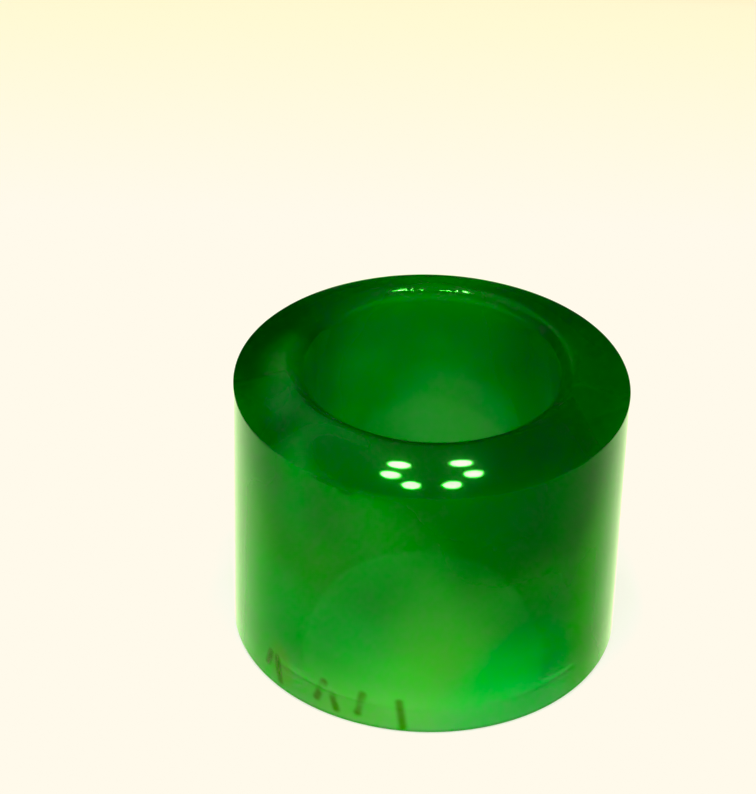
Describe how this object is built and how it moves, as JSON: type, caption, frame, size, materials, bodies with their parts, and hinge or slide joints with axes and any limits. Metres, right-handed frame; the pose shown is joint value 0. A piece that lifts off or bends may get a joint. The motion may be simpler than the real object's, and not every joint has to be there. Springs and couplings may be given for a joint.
{
  "type": "thumb ring",
  "caption": "Archer's thumb ring of polished green jade: a thick-walled straight cylinder with a plain bore, a flat foot and a domed upper rim with a rounded mouth.",
  "frame": {"origin": "centre of the flat foot, on the bore's axis", "axes": "+Z along the bore's axis, from the flat foot to the domed rim; the ring is turned about it, so +X and +Y are free"},
  "size_m": [0.032, 0.032, 0.0254],
  "materials": {
    "jade": "polished translucent green jadeite, cloudy, with a glassy gloss"
  },
  "bodies": {
    "root": {"thumb_ring": "jade"}
  },
  "joints": []
}
